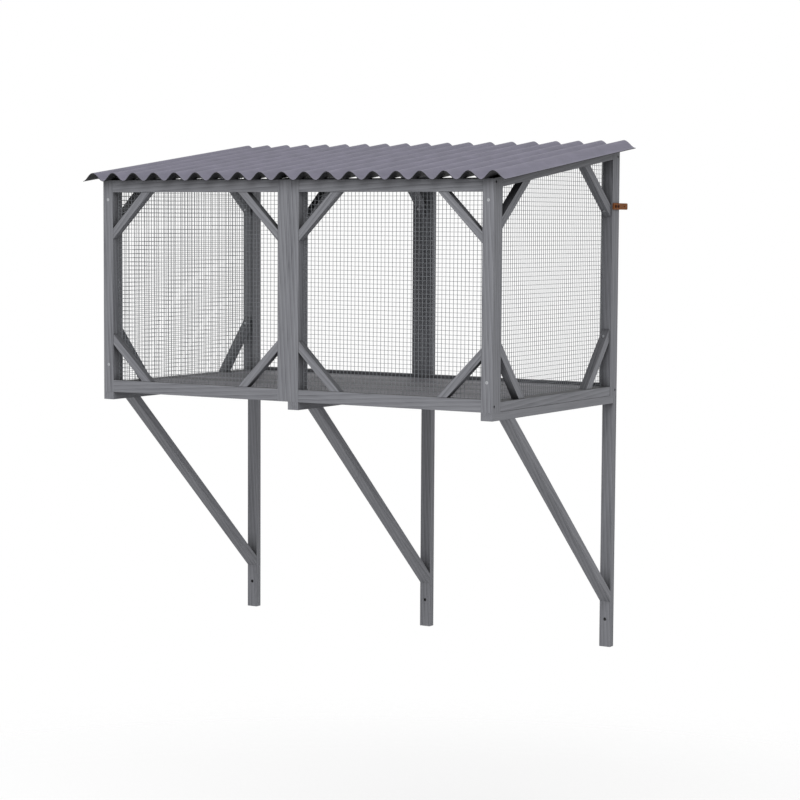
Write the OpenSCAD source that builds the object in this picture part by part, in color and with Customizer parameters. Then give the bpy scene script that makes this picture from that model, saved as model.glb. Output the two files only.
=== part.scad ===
// Window box catio: a two-bay timber cage on three brackets under a corrugated roof.
// X runs along the wall, Y points into the wall and Z up, in millimetres.
// The origin lies in the wall plane, on the seam between the bays, at the cage's underside.

/* [Cage] */
// Width of the cage over both bays
frame_w = 1049; // [820:1:1400]
// Depth of the cage from its front to the wall
frame_d = 610; // [560:1:760]
// Height of the cage at the wall
rear_h = 579; // [550:1:700]
// Height of the cage at its front
front_h = 498; // [450:1:530]
// Height from the feet of the legs to the highest point of the roof
total_h = 1199; // [1150:1:1400]

/* [Timber] */
// Width of the posts and of the bracket timbers
post_w = 28; // [24:1:34]
// Depth of the front stiles and the rear corner posts
post_d = 36; // [30:1:44]
// Thickness of the rails, front braces and bracket timbers
slat_t = 18; // [15:1:22]
// Height of the front and rear rails
rail_h = 28; // [24:1:36]
// Width of the side rails and the rafter
side_rail_w = 36; // [34:1:44]
// Height of the side rails and the rafter
side_rail_h = 22; // [20:1:28]
// Thickness of the floor panel
floor_t = 21; // [15:1:21]
// Gap between the floor panel and each side rail
floor_gap = 1; // [0.5:0.5:3]

/* [Braces] */
// Length of a front brace's long edge along each side of its corner
front_brace_leg = 110; // [80:1:140]
// Width of the front and centre braces
brace_w = 18; // [15:1:24]
// Length of a side brace along its long edge
side_brace_len = 180; // [130:1:200]
// Width of a side brace
side_brace_w = 20; // [15:1:24]
// Thickness of the side and centre braces
side_brace_t = 18; // [12:1:20]
// Depth at which the side braces lie behind the cage's side
side_brace_inset = 4; // [1:0.5:8]
// Angle of the low side braces above the horizontal
low_brace_angle = 49; // [40:0.5:55]
// Angle of the high side braces above the horizontal
high_brace_angle = 39.5; // [35:0.5:50]
// Length of the centre frame's front brace along its long edge
centre_front_len = 217; // [160:1:230]
// Angle of the centre frame's front brace above the horizontal
centre_front_angle = 39; // [35:0.5:50]
// Length of the centre frame's rear brace along its long edge
centre_rear_len = 167; // [120:1:200]
// Angle of the centre frame's rear brace above the horizontal
centre_rear_angle = 45; // [38:0.5:52]

/* [Roof] */
// Overhang of the roof sheet past the front of the cage
roof_front = 24.4; // [10:0.1:120]
// Overhang of the roof sheet past each side of the cage
roof_side = 40.5; // [10:0.5:80]
// Number of waves across the roof sheet
wave_count = 19; // [12:1:26]
// Height of the waves from trough to crest
wave_h = 18.5; // [8:0.5:22]
// Thickness of the roof sheet
sheet_t = 1.5; // [1:0.1:2.5]

/* [Brackets] */
// Length of a strut along its middle
strut_len = 681; // [600:1:700]
// Angle of the struts above the horizontal
strut_angle = 42.6; // [38:0.1:48]
// Height of the beams under the cage
beam_h = 18; // [15:1:30]
// Diameter of the wall screw hole in each leg
wall_hole_d = 8; // [5:0.5:9]
// Height of the wall screw hole above the foot of the leg
wall_hole_h = 66; // [40:1:90]

/* [Wire mesh] */
// Thickness of the mesh panels
net_t = 1; // [0.8:0.1:1.6]
// Width of the strands of the mesh panels
net_strand = 2; // [1.5:0.1:3]
// Spacing of the strands, far coarser than the real mesh
net_pitch = 47; // [44:1:70]
// Width of the mesh that lies on the back of each front rail
net_lap = 6; // [3:0.5:6]
// Clearance between the edges of the mesh panels and the timber
net_fit = 0.3; // [0.2:0.1:0.6]

/* [Fixing plates] */
// Length of each fixing plate
plate_len = 76; // [70:1:100]
// Height of each fixing plate
plate_h = 15; // [13:1:24]
// Thickness of each fixing plate
plate_t = 2.8; // [1.5:0.1:3]
// Radius of the corners of each fixing plate
plate_corner = 3; // [1:0.5:5]
// Reach of each fixing plate behind the wall plane
plate_reach = 40; // [36:1:50]
// Drop of the fixing plates' middle below the cage's height at the wall
plate_drop = 135; // [90:1:260]
// Diameter of the holes in the fixing plates
plate_hole_d = 4.5; // [4.5:0.1:6]
// Distance of the free hole behind the wall plane
plate_free_y = 22.5; // [15:0.5:28]
// Distance of the fixing plate's near screw in front of the wall plane
plate_near_y = 10.5; // [9:0.5:13]
// Spacing of the two screws that hold each fixing plate
plate_screw_step = 14; // [10:0.5:16]

/* [Screws] */
// Diameter of a slim screw's head, in the ends of the rails
slim_head_d = 6.2; // [4:0.1:7]
// Length of a slim screw
slim_len = 58; // [45:1:70]
// Depth of a slim screw's head below the timber
slim_sink = 2.5; // [0.5:0.1:3]
// Height of the lower slim screws above the cage's underside
slim_low_z = 13; // [8:0.5:18]
// Drop of the upper front slim screws below the roof
slim_front_drop = 8; // [7:0.5:18]
// Drop of the upper rear slim screws below the roof
slim_rear_drop = 18; // [8:0.5:20]
// Diameter of a flat-head screw's head
flat_head_d = 7; // [6:0.1:8]
// Length of the screws in the front stiles
stile_screw_len = 32; // [24:1:34]
// Height of the lower screw in each outer front stile
stile_screw_low = 64.5; // [40:0.5:90]
// Drop of the upper screw in each outer front stile below the front's top
stile_screw_drop = 45.5; // [40:0.5:90]
// Length of the screws through the braces
brace_screw_len = 30; // [26:1:31]
// Distance of a brace's screw from the post, along the brace's long edge
brace_screw_from_post = 23; // [19:0.5:26]
// Depth of a brace's screw behind the brace's long edge
brace_screw_sink = 2; // [1:0.5:3]
// Distance of the centre braces' screws beside the seam
centre_screw_x = 5; // [4:0.1:5.2]
// Diameter of a bracket screw's head
bracket_head_d = 8; // [7:0.1:9]
// Length of a long bracket screw
bracket_len = 48; // [42:1:54]
// Length of a short bracket screw, in the struts and the floor
bracket_short_len = 32; // [28:1:34]
// Distance of the front beam screws behind the cage's front
beam_front_in = 22; // [18:1:26]
// Distance of the rear beam screws in front of the legs
beam_rear_in = 9; // [8:1:12]
// Diameter of a fixing plate screw's head
plate_head_d = 7; // [6:0.1:7.5]
// Length of a fixing plate screw under its head
plate_screw_len = 20; // [14:1:24]
// Clearance between a screw and its hole
screw_fit = 0.1; // [0.05:0.05:0.3]

/* [Hidden] */
// Smoothness of the round shapes
$fn = 32;
// Shank diameters
slim_d = 3;
flat_d = 3.5;
bracket_d = 4.5;
plate_screw_d = 3.8;
// Heights of the screws' heads
slim_head_h = 2;
flat_head_h = 2.6;
bracket_head_h = 3;
plate_head_h = 1.8;
// Straight edge of a sunk head, length of a point, width of a cross recess and its depth
head_edge = 0.4;
screw_point = 4;
recess_w = 0.9;
recess_depth = 1.2;
// Share of the head's diameter that the cross recess spans
recess_share = 0.6;
// Overrun of every cut
over = 1;
// Share of a timber's width at which the leg's and the rear beam screws stand
leg_screw_share = 0.3;
beam_screw_share = 0.7;
// Share of a strut's end at which its screw stands, from the long edge
strut_screw_share = 0.75;
// Segments that draw one wave of the roof
wave_steps = 12;

slope_tan = (rear_h - front_h) / frame_d;
slope = atan(slope_tan);
front_y = -frame_d;
half_w = frame_w / 2;
stile_back_y = front_y + post_d;
rail_back_y = front_y + slat_t;
// A strut's ends are cut level and upright, so its long edge outreaches its middle
strut_edge = strut_len + slat_t / sin(2 * strut_angle);
strut_run = strut_edge * cos(strut_angle);
strut_rise = strut_edge * sin(strut_angle);
roof_w = frame_w + 2 * roof_side;
wave_pitch = roof_w / wave_count;
// The sheet runs down its slope from the wall plane to its front overhang
roof_len = (frame_d + roof_front) / cos(slope);
// Share of a wave at which the top face first reaches its highest level
crest_share = (wave_steps - 1) / wave_steps / 2;
crest_z = rear_h + top_point(crest_share)[1] * cos(slope);
leg_h = total_h - crest_z;
strut_top_y = -slat_t - strut_run;
mesh_outer_x = half_w - side_brace_inset - side_brace_t;
plate_z = rear_h - plate_drop;
// Left edges of the three brackets: outer left, right of the seam and outer right
bracket_x = [-half_w, 0, half_w - post_w];

// Height of the roof's underside over a place on the cage's depth
function roof_z(y) = rear_h + y * slope_tan;
// Height of the underside of the upper side rails and of the rafter
function under_z(y) = roof_z(y) - side_rail_h / cos(slope);

// Colours of the finishes
timber_grey = "#76777b";
roof_grey = "#84818c";
wire_grey = "#b4b6b8";
plate_brown = "#8a5a34";
screw_grey = "#a9abae";
screw_dark = "#3a3b3d";

// A block between two opposite corners
module block(low, high) {
    translate(low) cube(high - low);
}

// An outline drawn in Y and Z, given a thickness along X
module along_x(x0, x1) {
    translate([x0, 0, 0]) rotate([90, 0, 90]) linear_extrude(x1 - x0) children();
}

// An outline drawn in X and Z, given a thickness along Y
module along_y(y0, y1) {
    translate([0, y1, 0]) rotate([90, 0, 0]) linear_extrude(y1 - y0) children();
}

// A timber whose upper end is cut to the roof's slope
module sloped_block(x0, x1, y0, y1, z0) {
    along_x(x0, x1) polygon([[y0, z0], [y1, z0], [y1, roof_z(y1)], [y0, roof_z(y0)]]);
}

// A screw runs down from its flat head, which lies at zero
module sunk_screw(head_d, head_h, shank_d, len) {
    difference() {
        rotate_extrude()
            polygon([
                [0, 0],
                [head_d / 2, 0],
                [head_d / 2, -head_edge],
                [shank_d / 2, -head_h],
                [shank_d / 2, screw_point - len],
                [0, -len]
            ]);
        cross_recess(head_d * recess_share);
    }
}

// Its hole is wider by the clearance and open above the head by a reach
module sunk_hole(head_d, head_h, shank_d, len, reach) {
    head_r = head_d / 2 + screw_fit;
    shank_r = shank_d / 2 + screw_fit;
    rotate_extrude()
        polygon([
            [0, reach],
            [head_r, reach],
            [head_r, -head_edge],
            [shank_r, -head_h],
            [shank_r, -len - screw_fit],
            [0, -len - screw_fit]
        ]);
}

module cross_recess(span) {
    for (turn = [0, 90])
        rotate([0, 0, turn])
            translate([-span / 2, -recess_w / 2, -recess_depth])
                cube([span, recess_w, recess_depth + over]);
}

// A place for a screw is a point and a turn: the screw runs from the point along the turned -Z
module at_places(places) {
    for (p = places) translate(p[0]) rotate(p[1]) children();
}

// Slim screws hold the ends of the front and rear rails, from both sides of each bay
slim_points = [
    [front_y + slat_t / 2, slim_low_z],
    [front_y + slat_t / 2, roof_z(front_y + slat_t / 2) - slim_front_drop],
    [-slat_t / 2, slim_low_z],
    [-slat_t / 2, roof_z(-slat_t / 2) - slim_rear_drop]
];
slim_places = [
    for (side = [-1, 1], p = slim_points)
        for (outer = [true, false])
            [[outer ? side * (half_w - slim_sink) : side * slim_sink, p[0], p[1]],
             [0, (outer ? 90 : -90) * side, 0]]
];
module slim_holes() {
    at_places(slim_places)
        sunk_hole(slim_head_d, slim_head_h, slim_d, slim_len, slim_sink + over);
}

// Two flat-head screws show on each outer front stile
stile_screw_places = [
    for (side = [-1, 1], z = [stile_screw_low, front_h - stile_screw_drop])
        [[side * (half_w - post_w / 2), front_y, z], [90, 0, 0]]
];
module stile_holes() {
    at_places(stile_screw_places)
        sunk_hole(flat_head_d, flat_head_h, flat_d, stile_screw_len, over);
}

// Outline of a brace in Y and Z: it runs from a post face to a rail, away from their corner.
// dir is +1 or -1, the way along Y from the post; up is true under the roof.
function brace_rail_y(post_y, dir, len, angle) = post_y + dir * len * cos(angle);
function brace_post_z(post_y, dir, up, len, angle) = up
    ? under_z(brace_rail_y(post_y, dir, len, angle)) - len * sin(angle)
    : side_rail_h + len * sin(angle);
function brace_outline(post_y, dir, up, len, angle, width) =
    let (rail_y = brace_rail_y(post_y, dir, len, angle))
    let (rail_z = up ? under_z(rail_y) : side_rail_h)
    let (post_z = brace_post_z(post_y, dir, up, len, angle))
    let (rise = up ? 1 : -1)
    let (short_z = post_z + rise * width / cos(angle))
    let (corner_z = up ? under_z(post_y) : side_rail_h)
    let (rail_tan = up ? slope_tan : 0)
    let (run = (corner_z - short_z) / (rise * sin(angle) - rail_tan * dir * cos(angle)))
    [[post_y, post_z], [rail_y, rail_z],
     [post_y + dir * run * cos(angle), short_z + rise * run * sin(angle)], [post_y, short_z]];

// The screw through a brace's post end runs level into the post
function brace_screw_place(x, post_y, dir, up, len, angle) =
    let (s = brace_screw_from_post)
    let (post_z = brace_post_z(post_y, dir, up, len, angle))
    [[x, post_y + dir * (s * cos(angle) - brace_screw_sink),
      post_z + (up ? 1 : -1) * s * sin(angle)],
     [-90 * dir, 0, 0]];

// Each side brace: its post face, the way it runs from there, up or down, and its angle
side_braces = [
    [stile_back_y, 1, true, high_brace_angle],
    [-post_d, -1, true, high_brace_angle],
    [stile_back_y, 1, false, low_brace_angle],
    [-post_d, -1, false, low_brace_angle]
];
side_brace_x = mesh_outer_x + side_brace_t / 2;
function side_screw_places(side) = [
    for (b = side_braces)
        brace_screw_place(side * side_brace_x, b[0], b[1], b[2], side_brace_len, b[3])
];
// The centre braces meet the seam of two posts, so their screws stand beside it
centre_screw_places = [
    brace_screw_place(-centre_screw_x, stile_back_y, 1, true,
                      centre_front_len, centre_front_angle),
    brace_screw_place(-centre_screw_x, -slat_t, -1, true,
                      centre_rear_len, centre_rear_angle)
];
brace_screw_places = concat(side_screw_places(-1), side_screw_places(1), centre_screw_places);
module brace_holes() {
    at_places(brace_screw_places)
        sunk_hole(flat_head_d, flat_head_h, flat_d, brace_screw_len, post_w);
}

// Long bracket screws join leg and beam, and each beam to the post above each of its ends.
// Short ones join the strut to leg and beam, and the middle beam's rear end to the floor.
leg_screw_places = [
    for (x = bracket_x)
        [[x + post_w * leg_screw_share, 0, -beam_h / 2], [-90, 0, 0]]
];
beam_front_places = [
    for (x = bracket_x)
        [[x + post_w / 2, front_y + beam_front_in, -beam_h], [180, 0, 0]]
];
beam_rear_places = [
    for (x = bracket_x)
        [[x + post_w * beam_screw_share, -slat_t - beam_rear_in, -beam_h], [180, 0, 0]]
];
strut_foot_places = [
    for (x = bracket_x)
        [[x + post_w / 2, 0,
          slat_t / cos(strut_angle) * strut_screw_share - beam_h - strut_rise], [-90, 0, 0]]
];
strut_head_places = [
    for (x = bracket_x)
        [[x + post_w / 2, strut_top_y + slat_t / sin(strut_angle) * strut_screw_share, 0],
         [0, 0, 0]]
];
long_screw_places = concat(
    leg_screw_places, beam_front_places, [beam_rear_places[0], beam_rear_places[2]]
);
short_screw_places = concat(strut_foot_places, strut_head_places, [beam_rear_places[1]]);
module long_holes() {
    at_places(long_screw_places)
        sunk_hole(bracket_head_d, bracket_head_h, bracket_d, bracket_len, over);
}
module short_holes(places) {
    at_places(places)
        sunk_hole(bracket_head_d, bracket_head_h, bracket_d, bracket_short_len, over);
}

// Fixing plate screws stand in line with the plate's two front holes
plate_screw_y = [-plate_near_y, -plate_near_y - plate_screw_step];
module plate_screw_cut(side) {
    for (y = plate_screw_y)
        translate([side * (half_w - plate_screw_len - screw_fit), y, plate_z])
            rotate([0, side * 90, 0])
                cylinder(h = plate_screw_len + plate_t + over, d = plate_screw_d + 2 * screw_fit);
}

// Roof

// Height of the sheet's underside and its steepness, at a share of one wave from a trough
function wave_z(u) = wave_h / 2 * (1 - cos(360 * u) / cos(180 / wave_steps));
function wave_slope(u) = wave_h * PI / wave_pitch * sin(360 * u) / cos(180 / wave_steps);
// Places where the outline bends, each half a step from a trough or a crest
wave_shares = [
    for (k = [0 : wave_count * wave_steps - 1]) (k + 0.5) / wave_steps
];
under_points = concat(
    [[-roof_w / 2, 0]],
    [for (u = wave_shares) [-roof_w / 2 + u * wave_pitch, wave_z(u)]],
    [[roof_w / 2, 0]]
);
// The top face follows the underside, moved square to it by the sheet's thickness
function top_point(u) =
    let (s = wave_slope(u))
    let (k = sheet_t / sqrt(1 + s * s))
    [-roof_w / 2 + u * wave_pitch - k * s, wave_z(u) + k];
top_points = concat(
    [[-roof_w / 2, sheet_t]],
    [for (u = wave_shares) top_point(u)],
    [[roof_w / 2, sheet_t]]
);
module roof_sheet() {
    color(roof_grey)
        translate([0, front_y - roof_front, roof_z(front_y - roof_front)])
            rotate([slope, 0, 0])
                translate([0, roof_len, 0])
                    rotate([90, 0, 0])
                        linear_extrude(roof_len)
                            polygon(concat(under_points, [
                                for (k = [len(top_points) - 1 : -1 : 0]) top_points[k]
                            ]));
}

// Floor
module floor_panel() {
    x = half_w - side_rail_w - floor_gap;
    color(timber_grey)
        difference() {
            block([-x, rail_back_y, 0], [x, -slat_t, floor_t]);
            block([-post_w, rail_back_y - over, -over], [post_w, stile_back_y, floor_t + over]);
            short_holes([beam_rear_places[1]]);
        }
}

// Front panels
module front_stile(x0) {
    color(timber_grey)
        difference() {
            sloped_block(x0, x0 + post_w, front_y, stile_back_y, 0);
            slim_holes();
            stile_holes();
            brace_holes();
            long_holes();
        }
}

// Inner ends of one bay's rails, for the left (-1) or the right (1) bay
function bay_x(side) = side > 0 ? [post_w, half_w - post_w] : [post_w - half_w, -post_w];

module front_top_rail(side) {
    color(timber_grey)
        difference() {
            sloped_block(bay_x(side)[0], bay_x(side)[1], front_y, rail_back_y, front_h - rail_h);
            slim_holes();
        }
}

module front_bottom_rail(side) {
    color(timber_grey)
        difference() {
            block([bay_x(side)[0], front_y, 0], [bay_x(side)[1], rail_back_y, rail_h]);
            slim_holes();
        }
}

// A front brace across one corner of a bay; end is 0 for the bay's left post, 1 for its right
module front_brace(side, end, up) {
    x = bay_x(side)[end];
    z = up ? front_h - rail_h : rail_h;
    dx = end == 0 ? 1 : -1;
    dz = up ? -1 : 1;
    long = front_brace_leg;
    short = front_brace_leg - brace_w * sqrt(2);
    color(timber_grey)
        along_y(front_y, rail_back_y)
            polygon([
                [x + dx * long, z],
                [x, z + dz * long],
                [x, z + dz * short],
                [x + dx * short, z]
            ]);
}

// Rear frame
module rear_corner_post(side) {
    x0 = side > 0 ? half_w - post_w : -half_w;
    color(timber_grey)
        difference() {
            sloped_block(x0, x0 + post_w, -post_d, 0, 0);
            slim_holes();
            brace_holes();
            long_holes();
            plate_screw_cut(side);
        }
}

module rear_middle_post(side) {
    x0 = side > 0 ? 0 : -post_w;
    color(timber_grey)
        difference() {
            sloped_block(x0, x0 + post_w, -slat_t, 0, 0);
            slim_holes();
            brace_holes();
        }
}

module rear_top_rail(side) {
    color(timber_grey)
        difference() {
            sloped_block(bay_x(side)[0], bay_x(side)[1], -slat_t, 0, rear_h - rail_h);
            slim_holes();
        }
}

module rear_bottom_rail(side) {
    color(timber_grey)
        difference() {
            block([bay_x(side)[0], -slat_t, 0], [bay_x(side)[1], 0, rail_h]);
            slim_holes();
        }
}

// Side frames
function side_x(side) = side > 0 ? [half_w - side_rail_w, half_w] : [-half_w, side_rail_w - half_w];

// A timber just under the roof, of the side rails' height
module roof_rail(x0, x1, y0, y1) {
    along_x(x0, x1)
        polygon([[y0, under_z(y0)], [y1, under_z(y1)], [y1, roof_z(y1)], [y0, roof_z(y0)]]);
}

module side_top_rail(side) {
    color(timber_grey) roof_rail(side_x(side)[0], side_x(side)[1], stile_back_y, -post_d);
}

module side_bottom_rail(side) {
    color(timber_grey)
        block([side_x(side)[0], stile_back_y, 0], [side_x(side)[1], -post_d, side_rail_h]);
}

module side_brace(side, which) {
    b = side_braces[which];
    x0 = side > 0 ? mesh_outer_x : -mesh_outer_x - side_brace_t;
    color(timber_grey)
        difference() {
            along_x(x0, x0 + side_brace_t)
                polygon(brace_outline(b[0], b[1], b[2], side_brace_len, b[3], side_brace_w));
            brace_holes();
        }
}

// Centre frame
module centre_rafter() {
    color(timber_grey) roof_rail(-side_rail_w / 2, side_rail_w / 2, stile_back_y, -slat_t);
}

module centre_brace_front() {
    color(timber_grey)
        difference() {
            along_x(-side_brace_t / 2, side_brace_t / 2)
                polygon(brace_outline(stile_back_y, 1, true, centre_front_len,
                                      centre_front_angle, brace_w));
            brace_holes();
        }
}

module centre_brace_rear() {
    color(timber_grey)
        difference() {
            along_x(-side_brace_t / 2, side_brace_t / 2)
                polygon(brace_outline(-slat_t, -1, true, centre_rear_len,
                                      centre_rear_angle, brace_w));
            brace_holes();
        }
}

// Mesh panels: plain plates with square gaps, each standing for many gaps of the real mesh

// The front mesh lies on the backs of the rails, between the stiles
module front_mesh(side) {
    x0 = bay_x(side)[0] + net_fit;
    x1 = bay_x(side)[1] - net_fit;
    z0 = rail_h - net_lap;
    z1 = front_h - rail_h + net_lap;
    columns = round((x1 - x0) / net_pitch);
    rows = round((z1 - z0) / net_pitch);
    step_x = (x1 - x0 - net_strand) / columns;
    step_z = (z1 - z0 - net_strand) / rows;
    color(wire_grey)
        along_y(rail_back_y, rail_back_y + net_t)
            difference() {
                translate([x0, z0]) square([x1 - x0, z1 - z0]);
                for (i = [0 : columns - 1], k = [0 : rows - 1])
                    translate([x0 + net_strand + i * step_x, z0 + net_strand + k * step_z])
                        square([step_x - net_strand, step_z - net_strand]);
            }
}

// The side mesh stands inside the braces, between posts and rails, and its top follows the roof
module side_mesh(side) {
    y0 = stile_back_y + net_fit;
    y1 = -post_d - net_fit;
    z0 = side_rail_h + net_fit;
    columns = round((y1 - y0) / net_pitch);
    step_y = (y1 - y0 - net_strand) / columns;
    x0 = side > 0 ? mesh_outer_x - net_t : -mesh_outer_x;
    color(wire_grey)
        along_x(x0, x0 + net_t)
            difference() {
                polygon([[y0, z0], [y1, z0], [y1, under_z(y1) - net_fit], [y0, under_z(y0) - net_fit]]);
                for (i = [0 : columns - 1])
                    mesh_column(y0 + net_strand + i * step_y, step_y - net_strand, z0 + net_strand);
            }
}

// One column of gaps; the topmost gap ends along the roof's slope
module mesh_column(y, gap, z0) {
    top_low = under_z(y) - net_fit - net_strand;
    top_high = under_z(y + gap) - net_fit - net_strand;
    rows = floor((top_low - z0) / net_pitch);
    for (k = [0 : rows - 2])
        translate([y, z0 + k * net_pitch]) square([gap, net_pitch - net_strand]);
    last = z0 + (rows - 1) * net_pitch;
    polygon([[y, last], [y + gap, last], [y + gap, top_high], [y, top_low]]);
}

// Brackets
module leg(which) {
    x0 = bracket_x[which];
    color(timber_grey)
        difference() {
            block([x0, -slat_t, -leg_h], [x0 + post_w, 0, 0]);
            translate([x0 + post_w / 2, over, wall_hole_h - leg_h])
                rotate([90, 0, 0]) cylinder(h = slat_t + 2 * over, d = wall_hole_d);
            long_holes();
            short_holes(strut_foot_places);
        }
}

module beam(which) {
    x0 = bracket_x[which];
    color(timber_grey)
        difference() {
            block([x0, front_y, -beam_h], [x0 + post_w, -slat_t, 0]);
            long_holes();
            short_holes(concat(strut_head_places, [beam_rear_places[1]]));
        }
}

module strut(which) {
    x0 = bracket_x[which];
    color(timber_grey)
        difference() {
            along_x(x0, x0 + post_w)
                polygon([
                    [strut_top_y, -beam_h],
                    [-slat_t, -beam_h - strut_rise],
                    [-slat_t, -beam_h - strut_rise + slat_t / cos(strut_angle)],
                    [strut_top_y + slat_t / sin(strut_angle), -beam_h]
                ]);
            short_holes(concat(strut_foot_places, strut_head_places));
        }
}

// Fixing plates
module fixing_plate(side) {
    y0 = plate_reach - plate_len;
    x0 = side > 0 ? half_w : -half_w - plate_t;
    color(plate_brown)
        difference() {
            along_x(x0, x0 + plate_t)
                translate([y0, plate_z - plate_h / 2]) rounded_plate();
            plate_screw_cut(side);
            translate([side * half_w - side * over, plate_free_y, plate_z])
                rotate([0, side * 90, 0])
                    cylinder(h = plate_t + 2 * over, d = plate_hole_d);
        }
}

module rounded_plate() {
    translate([plate_corner, 0]) square([plate_len - 2 * plate_corner, plate_h]);
    translate([0, plate_corner]) square([plate_len, plate_h - 2 * plate_corner]);
    for (y = [plate_corner, plate_len - plate_corner], z = [plate_corner, plate_h - plate_corner])
        translate([y, z]) circle(r = plate_corner);
}

// Screws
module slim_screws() {
    color(screw_dark)
        at_places(slim_places) sunk_screw(slim_head_d, slim_head_h, slim_d, slim_len);
}

module flat_head_screws() {
    color(screw_grey) {
        at_places(stile_screw_places)
            sunk_screw(flat_head_d, flat_head_h, flat_d, stile_screw_len);
        at_places(brace_screw_places)
            sunk_screw(flat_head_d, flat_head_h, flat_d, brace_screw_len);
    }
}

module bracket_screws() {
    color(screw_grey) {
        at_places(long_screw_places)
            sunk_screw(bracket_head_d, bracket_head_h, bracket_d, bracket_len);
        at_places(short_screw_places)
            sunk_screw(bracket_head_d, bracket_head_h, bracket_d, bracket_short_len);
    }
}

module plate_screws() {
    color(screw_dark)
        for (side = [-1, 1], y = plate_screw_y)
            translate([side * (half_w + plate_t), y, plate_z])
                rotate([0, side * 90, 0])
                    difference() {
                        union() {
                            cylinder(h = plate_head_h, d = plate_head_d);
                            translate([0, 0, -plate_t - plate_screw_len])
                                cylinder(h = plate_t + plate_screw_len, d = plate_screw_d);
                        }
                        translate([0, 0, plate_head_h]) cross_recess(plate_head_d * recess_share);
                    }
}

roof_sheet();
floor_panel();
front_stile(-half_w);  // front_stile_left_outer
front_stile(-post_w);  // front_stile_left_inner
front_stile(0);  // front_stile_right_inner
front_stile(half_w - post_w);  // front_stile_right_outer
front_top_rail(-1);  // front_top_rail_left
front_top_rail(1);  // front_top_rail_right
front_bottom_rail(-1);  // front_bottom_rail_left
front_bottom_rail(1);  // front_bottom_rail_right
front_brace(-1, 0, true);  // front_brace_left_top_outer
front_brace(-1, 1, true);  // front_brace_left_top_inner
front_brace(-1, 0, false);  // front_brace_left_low_outer
front_brace(-1, 1, false);  // front_brace_left_low_inner
front_brace(1, 0, true);  // front_brace_right_top_inner
front_brace(1, 1, true);  // front_brace_right_top_outer
front_brace(1, 0, false);  // front_brace_right_low_inner
front_brace(1, 1, false);  // front_brace_right_low_outer
rear_corner_post(-1);  // rear_post_left
rear_middle_post(-1);  // rear_post_left_middle
rear_middle_post(1);  // rear_post_right_middle
rear_corner_post(1);  // rear_post_right
rear_top_rail(-1);  // rear_top_rail_left
rear_top_rail(1);  // rear_top_rail_right
rear_bottom_rail(-1);  // rear_bottom_rail_left
rear_bottom_rail(1);  // rear_bottom_rail_right
side_top_rail(-1);  // side_top_rail_left
side_bottom_rail(-1);  // side_bottom_rail_left
side_top_rail(1);  // side_top_rail_right
side_bottom_rail(1);  // side_bottom_rail_right
side_brace(-1, 0);  // side_brace_left_top_front
side_brace(-1, 1);  // side_brace_left_top_rear
side_brace(-1, 2);  // side_brace_left_low_front
side_brace(-1, 3);  // side_brace_left_low_rear
side_brace(1, 0);  // side_brace_right_top_front
side_brace(1, 1);  // side_brace_right_top_rear
side_brace(1, 2);  // side_brace_right_low_front
side_brace(1, 3);  // side_brace_right_low_rear
centre_rafter();
centre_brace_front();
centre_brace_rear();
front_mesh(-1);  // front_mesh_left
front_mesh(1);  // front_mesh_right
side_mesh(-1);  // side_mesh_left
side_mesh(1);  // side_mesh_right
leg(0);  // leg_left
leg(1);  // leg_middle
leg(2);  // leg_right
beam(0);  // beam_left
beam(1);  // beam_middle
beam(2);  // beam_right
strut(0);  // strut_left
strut(1);  // strut_middle
strut(2);  // strut_right
fixing_plate(-1);  // fixing_plate_left
fixing_plate(1);  // fixing_plate_right
slim_screws();
flat_head_screws();
bracket_screws();
plate_screws();
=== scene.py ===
# %% [markdown]
# # A window box for a cat
# The real object is a small timber cage that hangs outside a window. Its rear is open to the
# room. It has two bays, a fine wire mesh round the front and the sides, a corrugated sheet for
# a roof, and three wall brackets. This file dresses the exact CAD model of it, piece by piece.
#
# The CAD model already has the right shapes and places. Blender adds what CAD leaves plain: the
# stain and grain of the timber, the real wires of the mesh, the smooth waves of the roof, and light.

# %% Load the CAD model
import math

import bmesh
import bpy
import numpy as np
from mathutils import Matrix, Vector


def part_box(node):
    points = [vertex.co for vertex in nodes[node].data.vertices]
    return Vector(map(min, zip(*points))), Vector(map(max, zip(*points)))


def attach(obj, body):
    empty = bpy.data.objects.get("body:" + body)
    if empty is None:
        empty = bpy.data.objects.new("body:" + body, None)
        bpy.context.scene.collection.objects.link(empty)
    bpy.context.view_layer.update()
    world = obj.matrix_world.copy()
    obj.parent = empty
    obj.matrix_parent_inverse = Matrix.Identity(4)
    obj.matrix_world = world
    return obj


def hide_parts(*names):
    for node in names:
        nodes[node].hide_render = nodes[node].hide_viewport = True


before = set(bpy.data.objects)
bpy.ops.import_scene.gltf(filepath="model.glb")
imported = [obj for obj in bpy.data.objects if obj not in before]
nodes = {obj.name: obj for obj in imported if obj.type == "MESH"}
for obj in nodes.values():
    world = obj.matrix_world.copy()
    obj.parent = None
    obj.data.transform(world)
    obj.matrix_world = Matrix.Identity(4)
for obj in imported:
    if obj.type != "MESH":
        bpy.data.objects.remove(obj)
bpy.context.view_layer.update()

# %% [markdown]
# ## Units and colours
# The model is in metres, but timber, wire and grain are easier to think of in millimetres, so one
# value turns millimetres into metres. Colours are picked as sRGB hex values, as a painter's chart
# gives them. Blender's shaders work in linear light, so one function turns them over.

# %% Units and colours
MM = 0.001
ROOT = "root"


def linear(hex_colour):
    """The linear colour of an sRGB hex value such as #7e7f84."""
    parts = [int(hex_colour[i : i + 2], 16) / 255 for i in (1, 3, 5)]
    turned = [c / 12.92 if c <= 0.04045 else ((c + 0.055) / 1.055) ** 2.4 for c in parts]
    return (*turned, 1.0)


print("mid grey in linear light:", [round(c, 3) for c in linear("#808080")])

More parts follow.
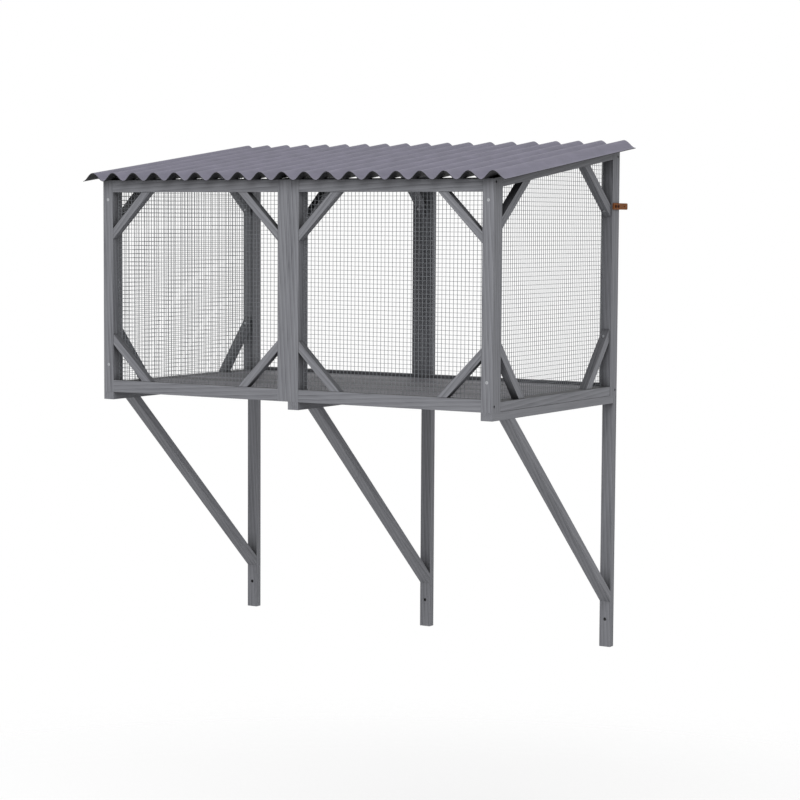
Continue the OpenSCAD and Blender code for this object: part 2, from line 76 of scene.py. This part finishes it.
# %% [markdown]
# ## The camera
# The picture of the real object was taken from its right front, a little above the middle of the
# cage, through a long lens. A long lens keeps the timbers almost parallel. The camera's place
# comes from lining up the corners of the cage in the picture with the same corners of the model.

# %% Camera
AZIMUTH, ELEVATION, ROLL = (math.radians(a) for a in (31.112, 4.616, 0.349))
EYE = Vector((2.7905, -4.74485, 0.4076))  # metres
SENSOR, LENS = 36.0, 99.95  # millimetres
NEAR, FAR = 0.1, 100.0  # metres


def camera_axes():
    """The camera's right, up and backward directions."""
    forward = Vector((
        -math.sin(AZIMUTH) * math.cos(ELEVATION),
        math.cos(AZIMUTH) * math.cos(ELEVATION),
        -math.sin(ELEVATION),
    ))
    level = forward.cross(Vector((0, 0, 1))).normalized()
    upright = level.cross(forward)
    right = level * math.cos(ROLL) + upright * math.sin(ROLL)
    up = upright * math.cos(ROLL) - level * math.sin(ROLL)
    return right, up, -forward


camera = bpy.data.objects.new("camera", bpy.data.cameras.new("camera"))
bpy.context.scene.collection.objects.link(camera)
turned = Matrix([list(row) for row in zip(*camera_axes())]).to_4x4()
camera.matrix_world = Matrix.Translation(EYE) @ turned
camera.data.sensor_width, camera.data.lens = SENSOR, LENS
camera.data.clip_start, camera.data.clip_end = NEAR, FAR
bpy.context.scene.camera = camera
print("camera at", [round(c, 3) for c in camera.location], "lens", LENS, "mm")

# %% [markdown]
# ## A helper for materials
# Every material here is a small network of nodes. One function adds a node, sets its options and
# fills its inputs, either with a value or with a link from another node's output. With it, a
# material reads like a recipe, from the coordinates at the top to the shader at the bottom.


# %% Node helper
def add(tree, kind, inputs=None, **settings):
    """A new node with its settings; an input is a value, or the output of another node."""
    node = tree.nodes.new(kind)
    for name, value in settings.items():
        setattr(node, name, value)
    for key, value in (inputs or {}).items():
        if isinstance(value, bpy.types.NodeSocket):
            tree.links.new(value, node.inputs[key])
        else:
            node.inputs[key].default_value = value
    return node


def new_material(name):
    """An empty material with its node tree, and that tree."""
    material = bpy.data.materials.new(name)
    material.use_nodes = True
    material.node_tree.nodes.clear()
    return material, material.node_tree


def finish_material(tree, shader):
    """Links the shader to the material's output."""
    out = add(tree, "ShaderNodeOutputMaterial")
    tree.links.new(shader.outputs[0], out.inputs["Surface"])


def ramp(tree, fac, stops):
    """A colour ramp through the stops, each a place and a hex colour."""
    node = add(tree, "ShaderNodeValToRGB", {"Fac": fac})
    points = node.color_ramp.elements
    while len(points) < len(stops):
        points.new(0.5)
    for point, (place, colour) in zip(points, stops):
        point.position = place
        point.color = linear(colour)
    return node.outputs["Color"]


def coat(obj, material):
    """Gives a piece one material in place of what it had."""
    obj.data.materials.clear()
    obj.data.materials.append(material)


# %% [markdown]
# ## Stained fir
# The frame is planed fir under a thin grey water stain. Stain sinks into the soft early wood and
# stays pale on the hard late wood, so the growth rings show as fine lines along each timber. The
# surface is dull, because thin stain leaves the fibres open.
#
# The grain is drawn in space, not on each face, so it runs on round the corners and shows as arcs
# on a cut end, as in real wood. The coordinates are turned so that the grain runs along each
# timber, and each timber is shifted by its own random amount, as if cut from another plank.
#
# Painted shade darkens the wood near each inner corner, in each hole and in each narrow gap. An
# ambient occlusion node finds these places: it measures how much of the space round a point is
# shut off by other surfaces. More painted shade darkens the faces that look up. The surface's
# normal tells how level a face is.

# %% Stained fir
RING_MM = 5.0         # spacing of the growth rings, on a plank sawn near its tree's outside
FIBRE_MM = 1.8        # width of a streak of fibres; single fibres are too fine for the picture
FIBRE_RUN = 40.0      # how many times longer than wide such a streak is
FIBRE_SHARE = 0.72    # share of the fibres in the grain; the rings have the rest
BANDS = (14.0, 0.25)  # width in mm and share of the slow bands of darker and paler wood
SLOW_RUN = 0.06       # how fast rings and bands change along the grain, against across it
RELIEF, RELIEF_MM = 0.35, 0.25  # strength and height of the grain that the plane leaves
FIR_IOR = 1.5
STAIN = [(0.30, "#515257"), (0.42, "#6d6e73"), (0.56, "#7a7b80"), (0.74, "#86878c")]
STAIN_ROUGHNESS = (0.55, 0.72)
CORNER_SHADE_MM, CORNER_RAYS = 45.0, 8  # how far the painted shade reaches out of a corner, and test rays
CORNER_OPEN, CORNER_SHUT = 0.9, 0.35  # how open a place is where the painted shade starts and ends
CORNER_SHADE_TONE = 0.28    # share of the colour that is left in the deepest corner, under painted shade
LEVEL_SHADE_FROM = 0.2      # upward part of a face's normal at which painted shade on level faces starts
LEVEL_SHADE_TONE = 0.3      # share of the colour that is left on a level face, under painted shade
WAVE_UNIT = 0.314159  # Blender's wave texture repeats after this length at scale 1
PLANK_SPREAD = 7.0    # metres of wood over which the timbers' random places are spread
PLANK_WAY = (0.37, 0.61, 1.0)  # the way in which they are spread


def grain_space(tree, direction):
    """Coordinates in metres whose Z runs along the grain, shifted for each timber."""
    place = add(tree, "ShaderNodeTexCoord").outputs["Object"]
    turn = Vector(direction).rotation_difference(Vector((0, 0, 1))).to_euler()
    along = add(tree, "ShaderNodeMapping", {"Vector": place, "Rotation": turn},
                vector_type="POINT").outputs[0]
    own = add(tree, "ShaderNodeObjectInfo").outputs["Random"]
    shift = add(tree, "ShaderNodeVectorMath", {0: PLANK_WAY, 1: own},
                operation="MULTIPLY").outputs[0]
    step = add(tree, "ShaderNodeVectorMath", {0: shift, 1: (PLANK_SPREAD,) * 3},
               operation="MULTIPLY").outputs[0]
    return add(tree, "ShaderNodeVectorMath", {0: along, 1: step}, operation="ADD").outputs[0]


def with_painted_shade(tree, colour, level_shade_tone):
    """The colour under painted shade, darker in corners and on the faces that look up."""
    # painted shade: darker where ambient occlusion finds corners, holes and narrow gaps
    free = add(tree, "ShaderNodeAmbientOcclusion", {"Distance": CORNER_SHADE_MM * MM},
               samples=CORNER_RAYS).outputs["AO"]
    left = add(tree, "ShaderNodeMapRange",
               {"Value": free, "From Min": CORNER_SHUT, "From Max": CORNER_OPEN,
                "To Min": CORNER_SHADE_TONE, "To Max": 1.0}).outputs["Result"]
    # painted shade: darker on faces whose normal looks up
    normal = add(tree, "ShaderNodeTexCoord").outputs["Normal"]
    upward = add(tree, "ShaderNodeSeparateXYZ", {0: normal}).outputs["Z"]
    shade_on_level = add(tree, "ShaderNodeMapRange",
              {"Value": upward, "From Min": LEVEL_SHADE_FROM, "From Max": 1.0, "To Min": 1.0,
               "To Max": level_shade_tone}).outputs["Result"]
    both_shades = add(tree, "ShaderNodeMath", {0: left, 1: shade_on_level}, operation="MULTIPLY").outputs[0]
    return add(tree, "ShaderNodeVectorMath", {0: colour, 1: both_shades},
               operation="MULTIPLY").outputs[0]


def stained_fir(name, direction, rings_run="DIAGONAL", stain=STAIN, level_shade_tone=LEVEL_SHADE_TONE,
                slow_bands=BANDS):
    """Planed fir under thin grey stain, with its grain along a direction."""
    material, tree = new_material(name)
    wood = grain_space(tree, direction)
    slow = add(tree, "ShaderNodeMapping", {"Vector": wood, "Scale": (1, 1, SLOW_RUN)}).outputs[0]
    rings = add(
        tree, "ShaderNodeTexWave",
        {"Vector": slow, "Scale": WAVE_UNIT / (RING_MM * MM), "Distortion": 5.0,
         "Detail": 2.0, "Detail Scale": 0.25, "Detail Roughness": 0.55},
        wave_type="BANDS", bands_direction=rings_run, wave_profile="SAW",
    ).outputs["Fac"]
    fine = add(tree, "ShaderNodeMapping",
               {"Vector": wood, "Scale": (1, 1, 1 / FIBRE_RUN)}).outputs[0]
    fibres = add(tree, "ShaderNodeTexNoise",
                 {"Vector": fine, "Scale": 1 / (FIBRE_MM * MM), "Detail": 3.0,
                  "Roughness": 0.65}).outputs["Fac"]
    band_mm, band_share = slow_bands
    bands = add(tree, "ShaderNodeTexNoise",
                {"Vector": slow, "Scale": 1 / (band_mm * MM), "Detail": 1.0}).outputs["Fac"]
    grain = add(tree, "ShaderNodeMix",
                {"Factor": FIBRE_SHARE, "A": rings, "B": fibres},
                data_type="FLOAT").outputs["Result"]
    tone = add(tree, "ShaderNodeMix",
               {"Factor": band_share, "A": grain, "B": bands},
               data_type="FLOAT").outputs["Result"]
    # the stain's colour gets painted shade in corners and on level faces
    colour = with_painted_shade(tree, ramp(tree, tone, stain), level_shade_tone)
    low, high = STAIN_ROUGHNESS
    rough = add(tree, "ShaderNodeMapRange",
                {"Value": fibres, "To Min": low, "To Max": high}).outputs["Result"]
    relief = add(tree, "ShaderNodeBump",
                 {"Height": grain, "Strength": RELIEF,
                  "Distance": RELIEF_MM * MM}).outputs["Normal"]
    shader = add(tree, "ShaderNodeBsdfPrincipled",
                 {"Base Color": colour, "Roughness": rough, "IOR": FIR_IOR,
                  "Normal": relief})
    finish_material(tree, shader)
    return material


print("growth rings every", RING_MM, "mm")

# %% [markdown]
# ## Which way does each timber's grain run?
# A timber is sawn along its grain, so the grain follows the piece's longest edge. The model's
# meshes are cut into triangles, so the code first joins their corners, leaves out the flat edges
# between triangles of one face, and takes the longest edge that is left. The beams show their
# front ends below the stiles. They are sawn with the rings upright, so these ends show plain,
# upright lines.

# %% Grain direction of each timber
PLAIN_NODES = ("roof_sheet", "floor_panel")
TIMBERS = [
    name for name in sorted(nodes)
    if name not in PLAIN_NODES and not name.endswith("screws")
    and "mesh" not in name and "plate" not in name
]
SHARP = math.radians(30)  # faces that meet at more than this make a real edge
JOIN_MM = 0.01  # corners nearer than this are one corner


def longest_edge(obj):
    """The direction of the longest real edge of a piece."""
    shape = bmesh.new()
    shape.from_mesh(obj.data)
    bmesh.ops.remove_doubles(shape, verts=shape.verts, dist=JOIN_MM * MM)
    real = [e for e in shape.edges if e.is_manifold and e.calc_face_angle(0) > SHARP]
    edge = max(real, key=lambda e: e.calc_length())
    way = (edge.verts[1].co - edge.verts[0].co).normalized()
    shape.free()
    return way if max(way, key=abs) > 0 else -way


fir_for = {}
for name in TIMBERS:
    rings_run = "X" if name.startswith("beam") else "DIAGONAL"
    kind = (tuple(round(c, 2) for c in longest_edge(nodes[name])), rings_run)
    if kind not in fir_for:
        fir_for[kind] = stained_fir(f"stained_fir_{len(fir_for):02d}", *kind)
    coat(nodes[name], fir_for[kind])
print(len(TIMBERS), "timbers in", len(fir_for), "kinds of grain")

# %% [markdown]
# ## Broken edges
# Nobody leaves a sawn edge sharp: sandpaper takes it down by about a millimetre. That tiny round
# catches the light and draws a fine line along each timber, and it also leaves a groove where two
# timbers meet. Modifiers do this and leave the CAD mesh as it is: one joins the corners, one
# clears the triangles from the flat faces, and one rounds the edges and keeps the faces flat.

# %% Round the edges of the timbers
EDGE_MM, EDGE_STEPS = 1.3, 2
FLAT = math.radians(1)  # faces that meet at less than this are one flat face


def break_edges(obj, width_mm):
    """Rounds a CAD piece's edges with modifiers."""
    weld = obj.modifiers.new("join corners", "WELD")
    weld.merge_threshold = JOIN_MM * MM
    clear = obj.modifiers.new("clear flat faces", "DECIMATE")
    clear.decimate_type = "DISSOLVE"
    clear.angle_limit = FLAT
    bevel = obj.modifiers.new("sanded edges", "BEVEL")
    bevel.width = width_mm * MM
    bevel.segments = EDGE_STEPS
    bevel.limit_method = "ANGLE"
    bevel.angle_limit = SHARP
    bevel.harden_normals = True


def shade_by_angle(obj, degrees):
    """Smooth shading that stays sharp at edges over an angle."""
    obj.data.polygons.foreach_set("use_smooth", [True] * len(obj.data.polygons))
    obj.data.set_sharp_from_angle(angle=math.radians(degrees))


for name in TIMBERS + ["floor_panel"]:
    break_edges(nodes[name], EDGE_MM)
print("edges rounded by", EDGE_MM, "mm")

# %% [markdown]
# ## The floor
# The floor is one flat board under a slightly darker grey stain. It is peeled or sawn flat, so its
# bands are broad and strong, and they run from side to side. Light reaches it only through the
# open sides. It gets the painted shade in its corners, but none of the painted shade on level faces.

# %% Floor board
FLOOR_STAIN = [(0.32, "#3f3f44"), (0.44, "#5d5c62"), (0.54, "#706f75"), (0.66, "#88878d")]
FLOOR_BANDS = (55.0, 0.55)  # width in mm and share, as in BANDS
coat(nodes["floor_panel"], stained_fir("stained_board", (1, 0, 0), stain=FLOOR_STAIN,
                                       level_shade_tone=1.0, slow_bands=FLOOR_BANDS))

# %% [markdown]
# ## The corrugated roof
# The roof is one corrugated sheet, pressed from bitumen and fibre. It is dull, faintly speckled
# and grey with a touch of violet. The CAD sheet has twelve flat steps to a wave, which is plenty
# for its size but shows at its edge, so a finer sheet takes its place. It is a wave drawn as a
# curve, given a thickness square to the curve, and run down the slope.

# %% Shape of the roof sheet
WAVES, STEPS = 19, 40  # waves across the sheet, and steps to a wave
WAVE_MM, SHEET_MM = 18.5, 1.4  # height of a wave, and thickness of the sheet
WIDTH_MM, LENGTH_MM = 1130.0, 639.97
SLOPE = math.radians(7.56388)
REAR_MM = 579.0  # height of the sheet's underside at its rear edge


def wave_outline():
    """Lower and upper outlines of the sheet's end, as X and height in millimetres."""
    share = np.linspace(0, WAVES, WAVES * STEPS + 1)
    pitch = WIDTH_MM / WAVES
    x = share * pitch - WIDTH_MM / 2
    z = WAVE_MM / 2 * (1 - np.cos(2 * np.pi * share))
    steep = WAVE_MM * np.pi / pitch * np.sin(2 * np.pi * share)
    reach = SHEET_MM / np.sqrt(1 + steep**2)
    return np.stack([x, z], 1), np.stack([x - reach * steep, z + reach], 1)


def roof_mesh():
    """The sheet as points and faces: its two outlines at the rear edge and at the front edge."""
    under, over = wave_outline()
    loop = np.concatenate([under, over[::-1]])
    n = len(loop)
    down = np.array([0, -math.cos(SLOPE), -math.sin(SLOPE)])
    lift = np.array([0, -math.sin(SLOPE), math.cos(SLOPE)])
    rear = np.array([[x, 0, REAR_MM] for x, _ in loop]) + loop[:, 1:] * lift
    points = np.concatenate([rear, rear + down * LENGTH_MM]) * MM
    sides = [(i, (i + 1) % n, (i + 1) % n + n, i + n) for i in range(n)]
    half = n // 2
    rear_end = [(i, n - 1 - i, n - 2 - i, i + 1) for i in range(half - 1)]
    front_end = [tuple(k + n for k in reversed(face)) for face in rear_end]
    return points, sides + rear_end + front_end


def make_piece(name, points, faces, material, slot, *stands_for):
    """A mesh piece that rides on the object and may stand for CAD nodes."""
    mesh = bpy.data.meshes.new(name)
    mesh.from_pydata([tuple(p) for p in points], [], faces)
    mesh.validate()
    piece = bpy.data.objects.new(name, mesh)
    bpy.context.scene.collection.objects.link(piece)
    mesh.materials.append(material)
    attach(piece, ROOT)
    if stands_for:
        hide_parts(*stands_for)
    return piece


# %% [markdown]
# ## Bitumen and fibre sheet
# Pressed bitumen fibre is a dull, slightly waxy surface with small lumps of fibre under the paint.
# Speckles under two millimetres wide and slow clouds of tone keep it from looking like plastic.
# The press leaves faint streaks down the waves. The paint covers the top alone: below and on the
# cut edges a nearly black copy stands for the raw fibre and for painted shade under the waves.

# %% Roof finish
SPECK_MM, STREAK_MM, CLOUD_MM = 1.6, 6.0, 55.0  # sizes of lumps, press streaks and clouds
STREAK_RUN = 0.05  # how fast streaks change down the slope, against across it
STREAK_SHARE, CLOUD_SHARE = 0.45, 0.4  # of streaks against lumps, and of clouds in all
LUMPS, LUMP_MM = 0.3, 0.3  # strength and height of the lumps' relief
BITUMEN_ROUGHNESS, BITUMEN_IOR = 0.68, 1.5
WAVE_SHARP = 40  # degrees
ROOF_TONES = [(0.3, "#676672"), (0.5, "#72707e"), (0.7, "#7c7989")]
# tones of the underside and cut edges: the raw fibre's dark colour and painted shade
RAW_AND_SHADE_TONES = [(0.3, "#0e0e12"), (0.5, "#16161b"), (0.7, "#1f1f25")]


def bitumen_fibre(name, tones):
    """Bitumen fibre sheet in the tones of its face."""
    material, tree = new_material(name)
    place = add(tree, "ShaderNodeTexCoord").outputs["Object"]
    specks = add(tree, "ShaderNodeTexNoise",
                 {"Vector": place, "Scale": 1 / (SPECK_MM * MM), "Detail": 2.0}).outputs["Fac"]
    drawn = add(tree, "ShaderNodeMapping",
                {"Vector": place, "Scale": (1, STREAK_RUN, 1)}).outputs[0]
    streaks = add(tree, "ShaderNodeTexNoise",
                  {"Vector": drawn, "Scale": 1 / (STREAK_MM * MM),
                   "Detail": 2.0}).outputs["Fac"]
    clouds = add(tree, "ShaderNodeTexNoise",
                 {"Vector": place, "Scale": 1 / (CLOUD_MM * MM), "Detail": 3.0}).outputs["Fac"]
    fine = add(tree, "ShaderNodeMix", {"Factor": STREAK_SHARE, "A": specks, "B": streaks},
               data_type="FLOAT").outputs["Result"]
    tone = add(tree, "ShaderNodeMix", {"Factor": CLOUD_SHARE, "A": fine, "B": clouds},
               data_type="FLOAT").outputs["Result"]
    relief = add(tree, "ShaderNodeBump",
                 {"Height": fine, "Strength": LUMPS,
                  "Distance": LUMP_MM * MM}).outputs["Normal"]
    shader = add(tree, "ShaderNodeBsdfPrincipled",
                 {"Base Color": ramp(tree, tone, tones), "Roughness": BITUMEN_ROUGHNESS,
                  "IOR": BITUMEN_IOR, "Normal": relief})
    finish_material(tree, shader)
    return material


roof_points, roof_faces = roof_mesh()
roof = make_piece("corrugated_roof", roof_points, roof_faces,
                  bitumen_fibre("painted_bitumen_fibre", ROOF_TONES), "roof", "roof_sheet")
# underside and cut edges: nearly black raw fibre with painted shade
roof.data.materials.append(bitumen_fibre("raw_fibre_and_painted_shade", RAW_AND_SHADE_TONES))
outline = WAVES * STEPS + 1  # points in one outline; the upper one comes second
for face in roof.data.polygons:
    upper = outline <= face.index < 2 * outline - 1
    face.material_index = 0 if upper else 1
shade_by_angle(roof, WAVE_SHARP)
print("roof faces:", len(roof_faces), "painted on top:", outline - 1)

# %% [markdown]
# ## The wire mesh
# Welded mesh is two layers of straight wires, laid across each other and welded at each crossing,
# then dipped in zinc. The CAD panels are plates with wide gaps. Here every wire is a thin rod of
# its own, at the real spacing, so the panels stay light and show the moiré of real mesh.

# %% Wires of a mesh panel
LINE_MM, CROSS_MM = 1.15, 0.9  # the upright line wires and the thinner cross wires
GAP_MM, WIRE_SIDES = 9.65, 6  # from wire to wire, and flat sides round a wire
LAYER_MM = (LINE_MM + CROSS_MM) / 2 * 0.85  # welds press the layers a little into each other
TOP_STEPS = 400  # places along a panel at which its sloping top is tested
WIRE_SHARP = 70  # degrees


def rod(start, end, radius):
    """Points and faces of a straight wire between two points."""
    start, end = Vector(start), Vector(end)
    along = (end - start).normalized()
    side = along.orthogonal().normalized()
    other = along.cross(side)
    turns = [2 * math.pi * k / WIRE_SIDES for k in range(WIRE_SIDES)]
    ring = [side * math.cos(t) * radius + other * math.sin(t) * radius for t in turns]
    points = [start + r for r in ring] + [end + r for r in ring]
    faces = [(k, (k + 1) % WIRE_SIDES, (k + 1) % WIRE_SIDES + WIRE_SIDES, k + WIRE_SIDES)
             for k in range(WIRE_SIDES)]
    faces.append(tuple(reversed(range(WIRE_SIDES))))
    faces.append(tuple(range(WIRE_SIDES, 2 * WIRE_SIDES)))
    return points, faces


def spaced(low, high):
    """Places of the wires between two ends, a gap apart and centred."""
    count = int((high - low - LINE_MM) // GAP_MM)
    start = (low + high - count * GAP_MM) / 2
    return [start + k * GAP_MM for k in range(count + 1)]


def wire_panel(low, high, top, place):
    """All wires of a panel. top(u) is the panel's upper edge; place(u, v, layer) is a 3-D point."""
    (u0, v0), (u1, v1) = low, high
    lines = [((u, v0, 0), (u, top(u), 0), LINE_MM) for u in spaced(u0, u1)]
    for v in spaced(v0, v1):
        reach = [u for u in np.linspace(u0, u1, TOP_STEPS) if top(u) >= v]
        if reach:
            lines.append(((min(reach), v, 1), (max(reach), v, 1), CROSS_MM))
    points, faces = [], []
    for a, b, thick in lines:
        new_points, new_faces = rod(place(*a), place(*b), thick / 2 * MM)
        faces += [tuple(k + len(points) for k in f) for f in new_faces]
        points += new_points
    return points, faces, len(lines)


def hang_panel(where, side, panel):
    """Makes a panel's wires one piece, which stands for the panel's CAD plate."""
    points, faces, wires = panel
    piece = make_piece(f"wire_mesh_{where}_{side}", points, faces, galvanised, "wire",
                       f"{where}_mesh_{side}")
    shade_by_angle(piece, WIRE_SHARP)
    print(piece.name, wires, "wires")


# %% [markdown]
# ## Galvanised wire
# Zinc is a metal, so its colour sits in its reflection. A dipped coat dulls within weeks, which
# raises the roughness, and it never lies quite evenly, so the roughness varies along the wire.
# The salts of a dulled coat are no metal any more, so it scatters part of the light. The panels
# at the front are plain rectangles, so every upright wire there ends at the same height.

# %% Zinc finish and front panels
ZINC, ZINC_ROUGHNESS, ZINC_METAL = "#7c7f83", (0.5, 0.75), 0.4  # metal: the share not salted
COAT_PATCH_MM = 12.0  # size of the patches of duller and brighter coat


def coated_steel(name, colour, roughness, metallic=1.0, shine=0.5):
    """Steel under a dipped or plated coat, with a low and a high roughness."""
    material, tree = new_material(name)
    place = add(tree, "ShaderNodeTexCoord").outputs["Object"]
    patches = add(tree, "ShaderNodeTexNoise",
                  {"Vector": place, "Scale": 1 / (COAT_PATCH_MM * MM),
                   "Detail": 2.0}).outputs["Fac"]
    low, high = roughness
    rough = add(tree, "ShaderNodeMapRange",
                {"Value": patches, "To Min": low, "To Max": high}).outputs["Result"]
    shader = add(tree, "ShaderNodeBsdfPrincipled",
                 {"Base Color": linear(colour), "Metallic": metallic, "Roughness": rough,
                  "Specular IOR Level": shine})
    finish_material(tree, shader)
    return material


galvanised = coated_steel("galvanised_wire", ZINC, ZINC_ROUGHNESS, ZINC_METAL)

for side in ("left", "right"):
    low, high = (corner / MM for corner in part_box(f"front_mesh_{side}"))

    def on_front(u, v, layer, y=low.y):
        return Vector((u, y + LINE_MM / 2 + layer * LAYER_MM, v)) * MM

    hang_panel("front", side, wire_panel(
        (low.x, low.z), (high.x, high.z), lambda u, z=high.z: z, on_front))

# %% [markdown]
# The side panels are cut along the roof's slope. Their upright wires end at that slope, and the
# level wires near the top are shorter, because they stop where they meet it.

# %% Side panels
rise = math.tan(SLOPE)
for side, out in (("left", -1), ("right", 1)):
    low, high = (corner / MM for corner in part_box(f"side_mesh_{side}"))
    outer = max(abs(low.x), abs(high.x))

    def on_side(u, v, layer, x=outer, way=out):
        return Vector((way * (x - LINE_MM / 2 - layer * LAYER_MM), u, v)) * MM

    hang_panel("side", side, wire_panel(
        (low.y, low.z), (high.y, high.z),
        lambda u, z=high.z, y=high.y: z - (y - u) * rise, on_side))

# %% [markdown]
# ## Screws and plates
# The light screws are zinc plated, the slim ones are black oxide and those in the fixing plates
# are browned. The two plates are stamped from thin steel under a dull brown coat, and the stamp
# rounds their edges a little.

# %% Finish the screws and plates
PLATE_TONES = [(0.3, "#603208"), (0.5, "#75400c"), (0.7, "#8a5316")]
PLATE_PATCH_MM, PLATE_EDGE_MM = 4.0, 0.3  # size of the coat's patches, and the stamped edges
PLATE_ROUGHNESS, PLATE_SHINE = 0.6, 0.25


def brown_coat(name):
    """Thin brown coat on stamped steel."""
    material, tree = new_material(name)
    place = add(tree, "ShaderNodeTexCoord").outputs["Object"]
    patches = add(tree, "ShaderNodeTexNoise",
                  {"Vector": place, "Scale": 1 / (PLATE_PATCH_MM * MM),
                   "Detail": 3.0}).outputs["Fac"]
    shader = add(tree, "ShaderNodeBsdfPrincipled",
                 {"Base Color": ramp(tree, patches, PLATE_TONES),
                  "Roughness": PLATE_ROUGHNESS, "Specular IOR Level": PLATE_SHINE})
    finish_material(tree, shader)
    return material


zinc_screw = coated_steel("zinc_plated_screw", "#b4b6b9", (0.3, 0.45))
black_screw = coated_steel("black_oxide_screw", "#101113", (0.55, 0.7), metallic=0.0, shine=0.2)
brown_screw = coated_steel("browned_screw", "#3a1a08", (0.5, 0.65), metallic=0.0, shine=0.2)
FINISHES = {
    "flat_head_screws": zinc_screw, "bracket_screws": zinc_screw,
    "slim_screws": black_screw, "plate_screws": brown_screw,
}
brown = brown_coat("brown_coated_steel")
for name, material in FINISHES.items():
    coat(nodes[name], material)
for side in ("left", "right"):
    plate = nodes[f"fixing_plate_{side}"]
    coat(plate, brown)
    break_edges(plate, PLATE_EDGE_MM)
print("finished", len(FINISHES), "screw nodes and two plates")

# %% [markdown]
# ## Studio
# The object hangs in a bright studio. The world gives soft light, most of it from above the right
# front, and one large lamp on that side adds a little more. The camera sees the world as plain
# white, and so do mirrors and glass, while the light that it gives the object is weaker.

# %% World and lamp
SKY_DIM, SKY_BRIGHT = 0.33, 0.8
SKY_WAY = (0.42, -0.61, 0.67)  # the way to the bright side of the studio
SKY_FROM, SKY_TO = -0.4, 0.8  # how far a ray looks that way where the dim and bright sky end
KEY_AIM = Vector((0, -0.3, 0.2))
KEY_PLACE, KEY_SIZE, KEY_POWER = Vector((1.5, -4.1, 3.6)), 3.6, 142.0  # metres and watts

world = bpy.data.worlds.new("studio")
bpy.context.scene.world = world
world.use_nodes = True
sky = world.node_tree
sky.nodes.clear()
rays = add(sky, "ShaderNodeLightPath")
seen = add(sky, "ShaderNodeMath",
           {0: rays.outputs["Is Camera Ray"], 1: rays.outputs["Is Glossy Ray"]},
           operation="MAXIMUM").outputs[0]
seen = add(sky, "ShaderNodeMath", {0: seen, 1: rays.outputs["Is Transmission Ray"]},
           operation="MAXIMUM").outputs[0]
way = add(sky, "ShaderNodeTexCoord").outputs["Generated"]
toward = add(sky, "ShaderNodeVectorMath", {0: way, 1: SKY_WAY}, operation="DOT_PRODUCT")
ambient = add(sky, "ShaderNodeMapRange", {
    "Value": toward.outputs["Value"], "From Min": SKY_FROM, "From Max": SKY_TO,
    "To Min": SKY_DIM, "To Max": SKY_BRIGHT}, interpolation_type="SMOOTHSTEP").outputs["Result"]
strength = add(sky, "ShaderNodeMapRange",
               {"Value": seen, "To Min": ambient, "To Max": 1.0}).outputs["Result"]
light = add(sky, "ShaderNodeBackground", {"Color": (1, 1, 1, 1), "Strength": strength})
add(sky, "ShaderNodeOutputWorld", {"Surface": light.outputs[0]})

key = bpy.data.objects.new("key", bpy.data.lights.new("key", "AREA"))
key.data.size, key.data.energy = KEY_SIZE, KEY_POWER
bpy.context.scene.collection.objects.link(key)
key.location = KEY_PLACE
key.rotation_euler = (KEY_AIM - KEY_PLACE).to_track_quat("-Z", "Y").to_euler()
print("sky", SKY_DIM, "to", SKY_BRIGHT, "key", KEY_POWER, "W")

# %% [markdown]
# ## Ground
# The box hangs on a wall, so the ground lies well below its legs. It is a pale round patch under
# the object that keeps its shadow, and its rim fades out, so that it joins the white behind it.
# Where it is lit it comes out white: its own glow, for the camera's rays alone, adds what the
# light leaves out.

# %% Ground
GROUND_PLACE = (0, -0.3, -1.5)  # metres; the height is well below the legs
GROUND_REACH, GROUND_RIM, GROUND_SIDES = 3.6, 1.2, 96  # radius and fading rim in metres, corners
GROUND_COLOUR, GROUND_GLOW = "#e2e2e2", 0.4


def pale_ground(name):
    """A pale floor that looks white to the camera where it is lit, and fades out at its rim."""
    material, tree = new_material(name)
    rays = add(tree, "ShaderNodeLightPath").outputs["Is Camera Ray"]
    glow = add(tree, "ShaderNodeMapRange", {"Value": rays, "To Max": GROUND_GLOW})
    diffuse = add(tree, "ShaderNodeBsdfDiffuse", {"Color": linear(GROUND_COLOUR)})
    shine = add(tree, "ShaderNodeEmission",
                {"Color": (1, 1, 1, 1), "Strength": glow.outputs["Result"]})
    lifted = add(tree, "ShaderNodeAddShader", {0: diffuse.outputs[0], 1: shine.outputs[0]})
    place = add(tree, "ShaderNodeTexCoord").outputs["Object"]
    flat = add(tree, "ShaderNodeVectorMath", {0: place, 1: (1, 1, 0)}, operation="MULTIPLY")
    far = add(tree, "ShaderNodeVectorMath", {0: flat.outputs[0]}, operation="LENGTH")
    fade = add(tree, "ShaderNodeMapRange",
               {"Value": far.outputs["Value"], "From Min": GROUND_REACH - GROUND_RIM,
                "From Max": GROUND_REACH}, interpolation_type="SMOOTHSTEP")
    clear = add(tree, "ShaderNodeBsdfTransparent")
    finish_material(tree, add(tree, "ShaderNodeMixShader", {
        0: fade.outputs["Result"], 1: lifted.outputs[0], 2: clear.outputs[0]}))
    return material


turns = [2 * math.pi * k / GROUND_SIDES for k in range(GROUND_SIDES)]
rim = [(GROUND_REACH * math.cos(t), GROUND_REACH * math.sin(t), 0) for t in turns]
ground_mesh = bpy.data.meshes.new("ground")
ground_mesh.from_pydata(rim, [], [tuple(range(GROUND_SIDES))])
ground_mesh.materials.append(pale_ground("pale_ground"))
ground = bpy.data.objects.new("ground", ground_mesh)
ground.location = GROUND_PLACE
bpy.context.scene.collection.objects.link(ground)
print("ground at", GROUND_PLACE, "m, reach", GROUND_REACH, "m")

# %% [markdown]
# ## View
# The Standard view shows colours as they are written.

# %% View
bpy.context.scene.view_settings.view_transform = "Standard"
